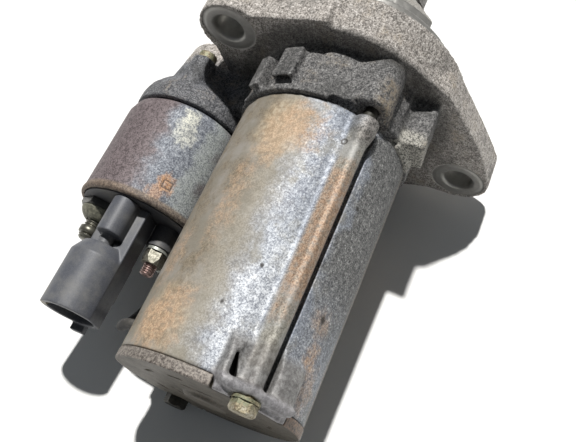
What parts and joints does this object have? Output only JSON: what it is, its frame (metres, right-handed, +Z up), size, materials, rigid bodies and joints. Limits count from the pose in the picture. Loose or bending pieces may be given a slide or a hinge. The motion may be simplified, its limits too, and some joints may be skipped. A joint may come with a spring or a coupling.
{
  "type": "starter motor",
  "caption": "Geared starter motor with a plated yoke tube, a piggyback solenoid with a plug socket, an eared cast mounting flange and a pinion in a windowed nose.",
  "frame": {"origin": "motor axis at the mounting face of the flange, where the pilot begins", "axes": "+X along the motor axis towards the pinion, +Y to the solenoid's side, +Z up as the starter lies"},
  "size_m": [0.2114, 0.1607, 0.1001],
  "materials": {
    "cast_aluminium": "sand cast, dirty and oxidised",
    "zinc_plated_steel": "zinc plated, worn and rusting",
    "pressed_steel": "yellow passivated, dirty",
    "bolt_steel": "rusty plated steel",
    "can_steel": "plated steel with brown tarnish",
    "black_plastic": "moulded, dusty",
    "stud_copper": "copper thread",
    "zinc_nut": "plated, partly corroded",
    "corroded_brass": "green corrosion",
    "lead_sheath": "black insulated lead",
    "tinned_copper": "tinned",
    "rubber_seal": "soft black rubber",
    "connector_plastic": "moulded dark grey",
    "ferrite": "ground ferrite",
    "spring_steel": "bright spring steel",
    "brush_plate_resin": "phenolic board",
    "sheet_brass": "pressed brass",
    "sintered_bronze": "oiled sintered bronze",
    "gear_resin": "glass filled resin",
    "machined_steel": "turned and oiled",
    "bobbin_resin": "moulded resin",
    "enamelled_wire": "varnished copper wire",
    "lamination_steel": "stacked laminations",
    "commutator_copper": "turned copper",
    "gear_steel": "hardened, greased",
    "clutch_cover_steel": "rolled sheet steel",
    "lever_resin": "glass filled resin",
    "brush_carbon": "copper carbon"
  },
  "bodies": {
    "housing": {"drive_housing": "cast_aluminium", "yoke_tube": "zinc_plated_steel", "rear_cover": "pressed_steel", "through_bolts": "bolt_steel", "bolt_washers": "bolt_steel", "solenoid_can": "can_steel", "solenoid_cap": "black_plastic", "solenoid_screws": "bolt_steel", "battery_stud": "stud_copper", "battery_nut": "zinc_nut", "terminal_collar": "corroded_brass", "motor_stud": "stud_copper", "motor_nut": "zinc_nut", "motor_lead": "lead_sheath", "lead_lug": "tinned_copper", "lead_grommet": "rubber_seal", "connector_housing": "connector_plastic", "connector_blade": "tinned_copper", "pole_magnets": "ferrite", "magnet_clips": "spring_steel", "brush_plate": "brush_plate_resin", "brush_holders": "sheet_brass", "brush_springs": "spring_steel", "rear_bush": "sintered_bronze", "ring_gear": "gear_resin", "gear_plate": "pressed_steel", "shaft_bush": "sintered_bronze", "nose_bush": "sintered_bronze", "lever_pivot": "machined_steel", "coil_bobbin": "bobbin_resin", "pull_in_coil": "enamelled_wire", "hold_in_coil": "enamelled_wire", "fixed_core": "machined_steel", "return_spring": "spring_steel"},
    "armature": {"armature_shaft": "machined_steel", "armature_core": "lamination_steel", "armature_windings": "enamelled_wire", "commutator": "commutator_copper", "sun_gear": "machined_steel"},
    "carrier": {"planet_carrier": "machined_steel", "planet_pins": "machined_steel", "drive_shaft": "machined_steel", "stop_collar": "machined_steel", "snap_ring": "spring_steel"},
    "planet_1": {"planet_gear_1": "gear_steel"},
    "planet_2": {"planet_gear_2": "gear_steel"},
    "planet_3": {"planet_gear_3": "gear_steel"},
    "clutch": {"clutch_shell": "machined_steel", "clutch_rollers": "machined_steel", "clutch_cover": "clutch_cover_steel", "guide_ring": "bobbin_resin"},
    "pinion": {"pinion": "gear_steel"},
    "lever": {"shift_lever": "lever_resin"},
    "plunger": {"plunger": "machined_steel"},
    "contact": {"contact_rod": "bobbin_resin", "contact_disc": "commutator_copper"},
    "brush_a": {"brush_1": "brush_carbon"},
    "brush_b": {"brush_2": "brush_carbon"},
    "brush_c": {"brush_3": "brush_carbon"},
    "brush_d": {"brush_4": "brush_carbon"}
  },
  "joints": [
    {"name": "armature_spin", "type": "hinge", "parent": "housing", "child": "armature", "pos_m": [-0.09, 0, 0], "axis": [1, 0, 0], "continuous": true},
    {"name": "carrier_spin", "type": "hinge", "parent": "housing", "child": "carrier", "pos_m": [-0.04, 0, 0], "axis": [1, 0, 0], "continuous": true},
    {"name": "planet_1_spin", "type": "hinge", "parent": "carrier", "child": "planet_1", "pos_m": [-0.05, 0.015, 0], "axis": [1, 0, 0], "continuous": true},
    {"name": "planet_2_spin", "type": "hinge", "parent": "carrier", "child": "planet_2", "pos_m": [-0.05, -0.0075, 0.01299], "axis": [1, 0, 0], "continuous": true},
    {"name": "planet_3_spin", "type": "hinge", "parent": "carrier", "child": "planet_3", "pos_m": [-0.05, -0.0075, -0.01299], "axis": [1, 0, 0], "continuous": true},
    {"name": "plunger_slide", "type": "slide", "parent": "housing", "child": "plunger", "axis": [-1, 0, 0], "range_m": [0, 0.012], "stiffness_N_per_m": 800, "springref_m": -0.02, "deforming": ["return_spring"]},
    {"name": "lever_swing", "type": "hinge", "parent": "housing", "child": "lever", "pos_m": [-0.016, 0.0318, -0.00882], "axis": [0, 0.2672, 0.9636], "range_deg": [0, 20.96]},
    {"name": "clutch_slide", "type": "slide", "parent": "carrier", "child": "clutch", "axis": [1, 0, 0], "range_m": [0, 0.012]},
    {"name": "contact_slide", "type": "slide", "parent": "housing", "child": "contact", "axis": [-1, 0, 0], "range_m": [0, 0.003]},
    {"name": "pinion_overrun", "type": "hinge", "parent": "clutch", "child": "pinion", "pos_m": [0.01, 0, 0], "axis": [1, 0, 0], "continuous": true},
    {"name": "brush_a_slide", "type": "slide", "parent": "housing", "child": "brush_a", "axis": [0, 0.7071, 0.7071], "range_m": [0, 0.002], "stiffness_N_per_m": 500, "springref_m": -0.006, "deforming": ["brush_springs"]},
    {"name": "brush_b_slide", "type": "slide", "parent": "housing", "child": "brush_b", "axis": [0, -0.7071, 0.7071], "range_m": [0, 0.002], "stiffness_N_per_m": 500, "springref_m": -0.006, "deforming": ["brush_springs"]},
    {"name": "brush_c_slide", "type": "slide", "parent": "housing", "child": "brush_c", "axis": [0, -0.7071, -0.7071], "range_m": [0, 0.002], "stiffness_N_per_m": 500, "springref_m": -0.006, "deforming": ["brush_springs"]},
    {"name": "brush_d_slide", "type": "slide", "parent": "housing", "child": "brush_d", "axis": [0, 0.7071, -0.7071], "range_m": [0, 0.002], "stiffness_N_per_m": 500, "springref_m": -0.006, "deforming": ["brush_springs"]}
  ],
  "couplings": [
    {"joint": "carrier_spin", "follows": "armature_spin", "ratio": 0.2},
    {"joint": "planet_1_spin", "follows": "armature_spin", "ratio": -0.53333},
    {"joint": "planet_2_spin", "follows": "armature_spin", "ratio": -0.53333},
    {"joint": "planet_3_spin", "follows": "armature_spin", "ratio": -0.53333},
    {"joint": "lever_swing", "follows": "plunger_slide", "rad_per_m": 30.473},
    {"joint": "clutch_slide", "follows": "plunger_slide", "ratio": 1},
    {"joint": "contact_slide", "follows": "plunger_slide", "ratio": 0.25}
  ]
}
